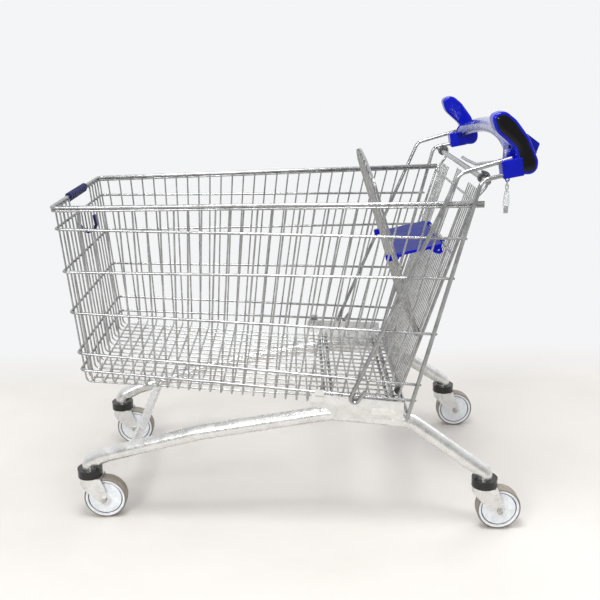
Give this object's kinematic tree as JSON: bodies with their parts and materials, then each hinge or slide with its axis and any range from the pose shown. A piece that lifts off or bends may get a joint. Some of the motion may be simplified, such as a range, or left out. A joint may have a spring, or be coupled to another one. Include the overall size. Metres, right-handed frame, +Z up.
{
  "type": "shopping cart",
  "caption": "Wire shopping cart with swivel casters, a hinged rear gate, a folding child seat, a bowed handle with end horns and a coin lock.",
  "frame": {"origin": "on the floor under the middle of the cart", "axes": "+X towards the front of the cart, +Y towards its left side, +Z up"},
  "size_m": [1.0262, 0.618, 0.9353],
  "materials": {
    "zinc_wire": "bright galvanised wire, satin",
    "zinc_rod": "galvanised rod, satin, slightly darker",
    "zinc_tube": "hot-dip galvanised tube, satin and mottled",
    "zinc_sheet": "galvanised sheet, satin",
    "bolt_steel": "plated steel",
    "chain_steel": "bright nickel plating",
    "collar_black": "satin black moulded plastic",
    "bush_black": "satin black moulded plastic",
    "buffer_rubber": "matte black rubber",
    "lock_housing_blue": "satin royal blue moulded plastic",
    "lock_slide_blue": "glossy blue moulded plastic",
    "hook_navy": "satin navy moulded plastic",
    "grip_navy": "ribbed dark blue moulded plastic",
    "handle_print": "glossy pale plastic with a blue speckled print",
    "horn_blue": "glossy royal blue moulded plastic",
    "insert_black": "glossy black plastic",
    "key_clear": "clear moulded plastic",
    "seat_blue": "satin royal blue moulded plastic",
    "tyre_grey": "smooth grey polyurethane tread",
    "hub_grey": "pale grey moulded nylon"
  },
  "bodies": {
    "cart_frame": {"basket_corner_bends": "zinc_wire", "basket_floor_cross_wires": "zinc_wire", "basket_floor_long_wires": "zinc_wire", "basket_front_wires": "zinc_wire", "basket_rim": "zinc_rod", "basket_ring_fronts": "zinc_rod", "basket_ring_sides_left": "zinc_rod", "basket_ring_sides_right": "zinc_rod", "basket_side_wires_left": "zinc_wire", "basket_side_wires_right": "zinc_wire", "caster_bearings": "bolt_steel", "caster_collars": "collar_black", "caster_kingpins": "bolt_steel", "chassis_cross_strut": "zinc_tube", "chassis_tube_left": "zinc_tube", "chassis_tube_right": "zinc_tube", "coin_lock_housing": "lock_housing_blue", "floor_support_rods": "zinc_rod", "front_bag_hook": "hook_navy", "front_grip_sleeve": "grip_navy", "gate_hinge_tube": "zinc_rod", "gate_stop_rod": "zinc_rod", "handle_arms_left": "zinc_rod", "handle_arms_right": "zinc_rod", "handle_bar": "zinc_tube", "handle_cover": "handle_print", "handle_horn_left": "horn_blue", "handle_horn_right": "horn_blue", "horn_inserts": "insert_black", "lock_brace_wire": "zinc_wire", "side_plates": "zinc_sheet"},
    "gate": {"gate_frame": "zinc_rod", "gate_wires": "zinc_wire", "gate_hinge_bushes": "bush_black", "gate_buffers": "buffer_rubber"},
    "seat_back": {"seat_back_frame": "zinc_rod", "seat_back_wires": "zinc_wire", "seat_back_bushes": "bush_black"},
    "seat_shelf": {"seat_plate": "seat_blue"},
    "coin_slide": {"coin_slide": "lock_slide_blue"},
    "chain_upper": {"chain_link_upper": "chain_steel"},
    "chain_lower": {"chain_link_lower": "chain_steel"},
    "key": {"key_holder": "key_clear", "key_blade": "chain_steel"},
    "swivel_front_left": {"caster_fork_front_left": "zinc_sheet", "axle_bolt_front_left": "bolt_steel"},
    "wheel_front_left": {"wheel_hub_front_left": "hub_grey", "tyre_front_left": "tyre_grey"},
    "swivel_front_right": {"caster_fork_front_right": "zinc_sheet", "axle_bolt_front_right": "bolt_steel"},
    "wheel_front_right": {"wheel_hub_front_right": "hub_grey", "tyre_front_right": "tyre_grey"},
    "swivel_rear_left": {"caster_fork_rear_left": "zinc_sheet", "axle_bolt_rear_left": "bolt_steel"},
    "wheel_rear_left": {"wheel_hub_rear_left": "hub_grey", "tyre_rear_left": "tyre_grey"},
    "swivel_rear_right": {"caster_fork_rear_right": "zinc_sheet", "axle_bolt_rear_right": "bolt_steel"},
    "wheel_rear_right": {"wheel_hub_rear_right": "hub_grey", "tyre_rear_right": "tyre_grey"}
  },
  "joints": [
    {"name": "swivel_front_left", "type": "hinge", "parent": "cart_frame", "child": "swivel_front_left", "pos_m": [0.483, 0.195, 0.104], "axis": [0, 0, 1], "continuous": true},
    {"name": "roll_front_left", "type": "hinge", "parent": "swivel_front_left", "child": "wheel_front_left", "pos_m": [0.45, 0.195, 0.05], "axis": [0, 1, 0], "continuous": true},
    {"name": "swivel_front_right", "type": "hinge", "parent": "cart_frame", "child": "swivel_front_right", "pos_m": [0.483, -0.195, 0.104], "axis": [0, 0, 1], "continuous": true},
    {"name": "roll_front_right", "type": "hinge", "parent": "swivel_front_right", "child": "wheel_front_right", "pos_m": [0.45, -0.195, 0.05], "axis": [0, 1, 0], "continuous": true},
    {"name": "swivel_rear_left", "type": "hinge", "parent": "cart_frame", "child": "swivel_rear_left", "pos_m": [-0.43, 0.277, 0.104], "axis": [0, 0, 1], "continuous": true},
    {"name": "roll_rear_left", "type": "hinge", "parent": "swivel_rear_left", "child": "wheel_rear_left", "pos_m": [-0.463, 0.277, 0.05], "axis": [0, 1, 0], "continuous": true},
    {"name": "swivel_rear_right", "type": "hinge", "parent": "cart_frame", "child": "swivel_rear_right", "pos_m": [-0.43, -0.277, 0.104], "axis": [0, 0, 1], "continuous": true},
    {"name": "roll_rear_right", "type": "hinge", "parent": "swivel_rear_right", "child": "wheel_rear_right", "pos_m": [-0.463, -0.277, 0.05], "axis": [0, 1, 0], "continuous": true},
    {"name": "gate_swing", "type": "hinge", "parent": "cart_frame", "child": "gate", "pos_m": [-0.402, 0, 0.797], "axis": [0, -1, 0], "range_deg": [0, 75]},
    {"name": "seat_back_fold", "type": "hinge", "parent": "gate", "child": "seat_back", "pos_m": [-0.28425, 0, 0.43676], "axis": [0, -1, 0], "range_deg": [0, 25.5]},
    {"name": "seat_shelf_fold", "type": "hinge", "parent": "gate", "child": "seat_shelf", "pos_m": [-0.34825, 0, 0.63256], "axis": [0, -1, 0], "range_deg": [0, 115]},
    {"name": "coin_slide_push", "type": "slide", "parent": "cart_frame", "child": "coin_slide", "axis": [-0.7986, 0, -0.6018], "range_m": [0, 0.008]},
    {"name": "chain_upper_swing", "type": "hinge", "parent": "cart_frame", "child": "chain_upper", "pos_m": [-0.443, 0.286, 0.798], "axis": [0, 1, 0], "range_deg": [-15, 15]},
    {"name": "chain_lower_swing", "type": "hinge", "parent": "chain_upper", "child": "chain_lower", "pos_m": [-0.443, 0.286, 0.7868], "axis": [0, 1, 0], "range_deg": [-15, 15]},
    {"name": "key_swing", "type": "hinge", "parent": "chain_lower", "child": "key", "pos_m": [-0.443, 0.286, 0.7785], "axis": [1, 0, 0], "range_deg": [-25, 25]}
  ],
  "couplings": [
    {"joint": "seat_shelf_fold", "follows": "seat_back_fold", "ratio": 4.5}
  ]
}
